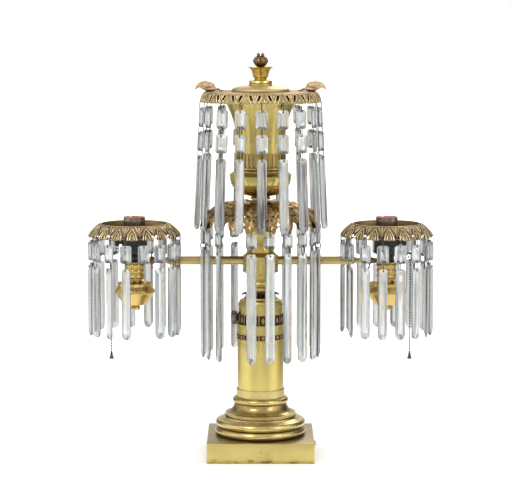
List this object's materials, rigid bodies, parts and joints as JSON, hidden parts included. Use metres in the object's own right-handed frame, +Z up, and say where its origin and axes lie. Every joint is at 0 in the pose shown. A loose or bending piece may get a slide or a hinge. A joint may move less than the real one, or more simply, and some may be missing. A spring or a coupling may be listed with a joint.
{
  "type": "table lamp",
  "caption": "Two-light brass table lamp on a column, with a lidded oil font, pull-chain lamp sockets, drip cups and hanging cut-glass prisms.",
  "frame": {"origin": "centre of the plinth's underside, on the column's axis", "axes": "+Z up along the column, -Y towards the viewer in front, +X along the right arm"},
  "size_m": [0.4794, 0.187, 0.5592],
  "materials": {
    "polished_brass": "old polished brass, warm, with worn streaks",
    "matt_brass": "cast, stippled, matt brass",
    "dark_bronze": "dark brown patina on cast brass",
    "plain_steel": "plain steel",
    "phenolic": "black moulded, slightly blue sheen",
    "copper_brass": "bright pressed sheet",
    "wire_cover": "dark insulation",
    "nickel_wire": "dull nickel",
    "cut_glass": "clear cut and polished glass"
  },
  "bodies": {
    "stand": {"plinth": "polished_brass", "cord_bushing": "polished_brass", "base_rod": "plain_steel", "base_nuts": "plain_steel", "bead_moulding": "polished_brass", "flared_moulding": "polished_brass", "column_foot": "polished_brass", "column_tube": "polished_brass", "lower_band": "dark_bronze", "column_collar": "polished_brass", "upper_band": "dark_bronze"},
    "clamp": {"clamp_screw": "dark_bronze"},
    "upper": {"slide_tube": "polished_brass", "shoulder_cap": "polished_brass", "leaf_crest": "dark_bronze", "turned_neck": "polished_brass", "arm_hub": "polished_brass", "stem": "polished_brass", "stem_calyx": "polished_brass", "corona": "dark_bronze", "feed_pipe": "polished_brass", "font_bowl": "polished_brass", "reeded_band": "polished_brass", "font_body": "polished_brass", "oil_tank": "plain_steel", "canopy": "matt_brass", "bird_left": "matt_brass", "bird_right": "matt_brass", "arm_left": "polished_brass", "arm_right": "polished_brass", "arm_rings": "polished_brass", "knuckle_left": "dark_bronze", "knuckle_right": "dark_bronze", "arm_leads": "wire_cover", "burner_left": "polished_brass", "burner_right": "polished_brass", "socket_left": "phenolic", "socket_right": "phenolic", "screw_shell_left": "copper_brass", "screw_shell_right": "copper_brass", "socket_contacts": "copper_brass", "gallery_left": "matt_brass", "gallery_right": "matt_brass", "canopy_upper_buttons": "cut_glass", "canopy_lower_buttons": "cut_glass", "canopy_drops": "cut_glass", "corona_buttons": "cut_glass", "corona_drops": "cut_glass", "gallery_buttons": "cut_glass", "gallery_drops": "cut_glass", "pin_links": "nickel_wire"},
    "lid": {"lid_dome": "matt_brass", "lid_collar": "polished_brass", "finial_cup": "polished_brass", "finial_bud": "dark_bronze", "lid_stud": "plain_steel"},
    "cup_left": {"drip_cup_left": "polished_brass"},
    "cup_right": {"drip_cup_right": "polished_brass"},
    "chain_left": {"pull_chain_left": "nickel_wire"},
    "chain_right": {"pull_chain_right": "nickel_wire"}
  },
  "joints": [
    {"name": "column_slide", "type": "slide", "parent": "stand", "child": "upper", "axis": [0, 0, 1], "range_m": [0, 0.06]},
    {"name": "clamp_screw_turn", "type": "hinge", "parent": "stand", "child": "clamp", "pos_m": [0, 0, 0.192], "axis": [-1, 0, 0], "range_deg": [0, 360]},
    {"name": "lid_lift", "type": "slide", "parent": "upper", "child": "lid", "axis": [0, 0, 1], "range_m": [0, 0.08]},
    {"name": "left_cup_turn", "type": "hinge", "parent": "upper", "child": "cup_left", "pos_m": [-0.175, 0, 0.22], "axis": [0, 0, 1], "range_deg": [0, 60]},
    {"name": "right_cup_turn", "type": "hinge", "parent": "upper", "child": "cup_right", "pos_m": [0.175, 0, 0.22], "axis": [0, 0, 1], "range_deg": [0, 60]},
    {"name": "left_chain_pull", "type": "slide", "parent": "upper", "child": "chain_left", "axis": [0, 0, -1], "range_m": [0, 0.008], "stiffness_N_per_m": 300},
    {"name": "right_chain_pull", "type": "slide", "parent": "upper", "child": "chain_right", "axis": [0, 0, -1], "range_m": [0, 0.008], "stiffness_N_per_m": 300}
  ]
}
